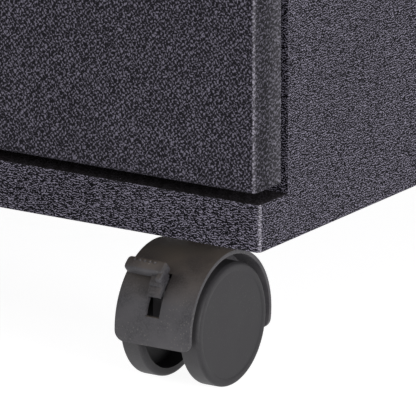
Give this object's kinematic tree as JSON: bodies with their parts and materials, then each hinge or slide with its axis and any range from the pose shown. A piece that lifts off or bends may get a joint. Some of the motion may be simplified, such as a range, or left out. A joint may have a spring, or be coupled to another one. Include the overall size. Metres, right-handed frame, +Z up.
{
  "type": "mobile filing cabinet",
  "caption": "Black textured steel mobile filing cabinet with shallow drawers above a deep file drawer, a lock and twin-wheel hooded casters with front brakes.",
  "frame": {"origin": "centre of the bounding box on the floor, under the wheels", "axes": "+X to the right as seen from the front, +Y to the back (drawers open towards -Y), +Z up"},
  "size_m": [0.39, 0.534, 0.6864],
  "materials": {
    "case_paint": "fine textured black powder coat",
    "front_paint": "fine textured black powder coat",
    "tray_paint": "smooth satin black paint",
    "handle_paint": "satin black",
    "zinc_steel": "zinc plated",
    "lock_chrome": "bright plated",
    "black_plastic": "matte",
    "bumper_rubber": "matte",
    "hood_plastic": "fine grained matte black",
    "lever_plastic": "fine grained matte black",
    "wheel_plastic": "smooth satin black"
  },
  "bodies": {
    "case": {"case_wrap": "case_paint", "back_panel": "case_paint", "top_cap": "case_paint", "bottom_pan": "case_paint", "uprights": "zinc_steel", "cross_rails": "case_paint", "slide_outers": "zinc_steel", "rivets": "zinc_steel", "caster_plates": "zinc_steel", "caster_screws": "zinc_steel", "swivel_pins": "zinc_steel", "lock_housing": "lock_chrome", "lock_guides": "black_plastic"},
    "lock_core": {"lock_plug": "lock_chrome", "lock_cam": "zinc_steel"},
    "lock_rod": {"lock_bar": "zinc_steel"},
    "drawer_1": {"front_1": "front_paint", "tray_1": "tray_paint", "handle_1": "handle_paint", "handle_screws_1": "zinc_steel", "slide_inner_1": "zinc_steel", "bumpers_1": "bumper_rubber"},
    "runner_1": {"slide_mid_1": "zinc_steel"},
    "drawer_2": {"front_2": "front_paint", "tray_2": "tray_paint", "handle_2": "handle_paint", "handle_screws_2": "zinc_steel", "slide_inner_2": "zinc_steel", "bumpers_2": "bumper_rubber"},
    "runner_2": {"slide_mid_2": "zinc_steel"},
    "drawer_3": {"front_3": "front_paint", "tray_3": "tray_paint", "handle_3": "handle_paint", "handle_screws_3": "zinc_steel", "slide_inner_3": "zinc_steel", "bumpers_3": "bumper_rubber", "file_rails": "zinc_steel"},
    "runner_3": {"slide_mid_3": "zinc_steel"},
    "caster_fr": {"hood_fr": "hood_plastic", "axle_fr": "zinc_steel"},
    "wheel_fr_out": {"wheel_fr_out": "wheel_plastic"},
    "wheel_fr_in": {"wheel_fr_in": "wheel_plastic"},
    "brake_fr": {"lever_fr": "lever_plastic"},
    "caster_fl": {"hood_fl": "hood_plastic", "axle_fl": "zinc_steel"},
    "wheel_fl_out": {"wheel_fl_out": "wheel_plastic"},
    "wheel_fl_in": {"wheel_fl_in": "wheel_plastic"},
    "brake_fl": {"lever_fl": "lever_plastic"},
    "caster_br": {"hood_br": "hood_plastic", "axle_br": "zinc_steel"},
    "wheel_br_out": {"wheel_br_out": "wheel_plastic"},
    "wheel_br_in": {"wheel_br_in": "wheel_plastic"},
    "caster_bl": {"hood_bl": "hood_plastic", "axle_bl": "zinc_steel"},
    "wheel_bl_out": {"wheel_bl_out": "wheel_plastic"},
    "wheel_bl_in": {"wheel_bl_in": "wheel_plastic"}
  },
  "joints": [
    {"name": "lock_turn", "type": "hinge", "parent": "case", "child": "lock_core", "pos_m": [0.15, -0.234, 0.6494], "axis": [0, -1, 0], "range_deg": [0, 90.5]},
    {"name": "lock_lift", "type": "slide", "parent": "case", "child": "lock_rod", "axis": [0, 0, 1], "range_m": [0, 0.01]},
    {"name": "drawer_1_slide", "type": "slide", "parent": "case", "child": "drawer_1", "axis": [0, -1, 0], "range_m": [0, 0.38]},
    {"name": "runner_1_slide", "type": "slide", "parent": "case", "child": "runner_1", "axis": [0, -1, 0], "range_m": [0, 0.1901]},
    {"name": "drawer_2_slide", "type": "slide", "parent": "case", "child": "drawer_2", "axis": [0, -1, 0], "range_m": [0, 0.38]},
    {"name": "runner_2_slide", "type": "slide", "parent": "case", "child": "runner_2", "axis": [0, -1, 0], "range_m": [0, 0.1901]},
    {"name": "drawer_3_slide", "type": "slide", "parent": "case", "child": "drawer_3", "axis": [0, -1, 0], "range_m": [0, 0.38]},
    {"name": "runner_3_slide", "type": "slide", "parent": "case", "child": "runner_3", "axis": [0, -1, 0], "range_m": [0, 0.1901]},
    {"name": "swivel_fr", "type": "hinge", "parent": "case", "child": "caster_fr", "pos_m": [0.143, -0.184, 0.061], "axis": [0, 0, 1], "continuous": true},
    {"name": "roll_fr_out", "type": "hinge", "parent": "caster_fr", "child": "wheel_fr_out", "pos_m": [0.143, -0.202, 0.0256], "axis": [1, 0, 0], "continuous": true},
    {"name": "roll_fr_in", "type": "hinge", "parent": "caster_fr", "child": "wheel_fr_in", "pos_m": [0.143, -0.202, 0.0256], "axis": [1, 0, 0], "continuous": true},
    {"name": "brake_fr_press", "type": "hinge", "parent": "caster_fr", "child": "brake_fr", "pos_m": [0.143, -0.212, 0.0356], "axis": [1, 0, 0], "range_deg": [0, 14]},
    {"name": "swivel_fl", "type": "hinge", "parent": "case", "child": "caster_fl", "pos_m": [-0.143, -0.184, 0.061], "axis": [0, 0, 1], "continuous": true},
    {"name": "roll_fl_out", "type": "hinge", "parent": "caster_fl", "child": "wheel_fl_out", "pos_m": [-0.143, -0.202, 0.0256], "axis": [1, 0, 0], "continuous": true},
    {"name": "roll_fl_in", "type": "hinge", "parent": "caster_fl", "child": "wheel_fl_in", "pos_m": [-0.143, -0.202, 0.0256], "axis": [1, 0, 0], "continuous": true},
    {"name": "brake_fl_press", "type": "hinge", "parent": "caster_fl", "child": "brake_fl", "pos_m": [-0.143, -0.212, 0.0356], "axis": [1, 0, 0], "range_deg": [0, 14]},
    {"name": "swivel_br", "type": "hinge", "parent": "case", "child": "caster_br", "pos_m": [0.143, 0.216, 0.061], "axis": [0, 0, 1], "continuous": true},
    {"name": "roll_br_out", "type": "hinge", "parent": "caster_br", "child": "wheel_br_out", "pos_m": [0.143, 0.198, 0.0256], "axis": [1, 0, 0], "continuous": true},
    {"name": "roll_br_in", "type": "hinge", "parent": "caster_br", "child": "wheel_br_in", "pos_m": [0.143, 0.198, 0.0256], "axis": [1, 0, 0], "continuous": true},
    {"name": "swivel_bl", "type": "hinge", "parent": "case", "child": "caster_bl", "pos_m": [-0.143, 0.216, 0.061], "axis": [0, 0, 1], "continuous": true},
    {"name": "roll_bl_out", "type": "hinge", "parent": "caster_bl", "child": "wheel_bl_out", "pos_m": [-0.143, 0.198, 0.0256], "axis": [1, 0, 0], "continuous": true},
    {"name": "roll_bl_in", "type": "hinge", "parent": "caster_bl", "child": "wheel_bl_in", "pos_m": [-0.143, 0.198, 0.0256], "axis": [1, 0, 0], "continuous": true}
  ],
  "couplings": [
    {"joint": "lock_turn", "follows": "lock_lift", "rad_per_m": 157.08},
    {"joint": "runner_1_slide", "follows": "drawer_1_slide", "ratio": 0.5},
    {"joint": "runner_2_slide", "follows": "drawer_2_slide", "ratio": 0.5},
    {"joint": "runner_3_slide", "follows": "drawer_3_slide", "ratio": 0.5}
  ]
}
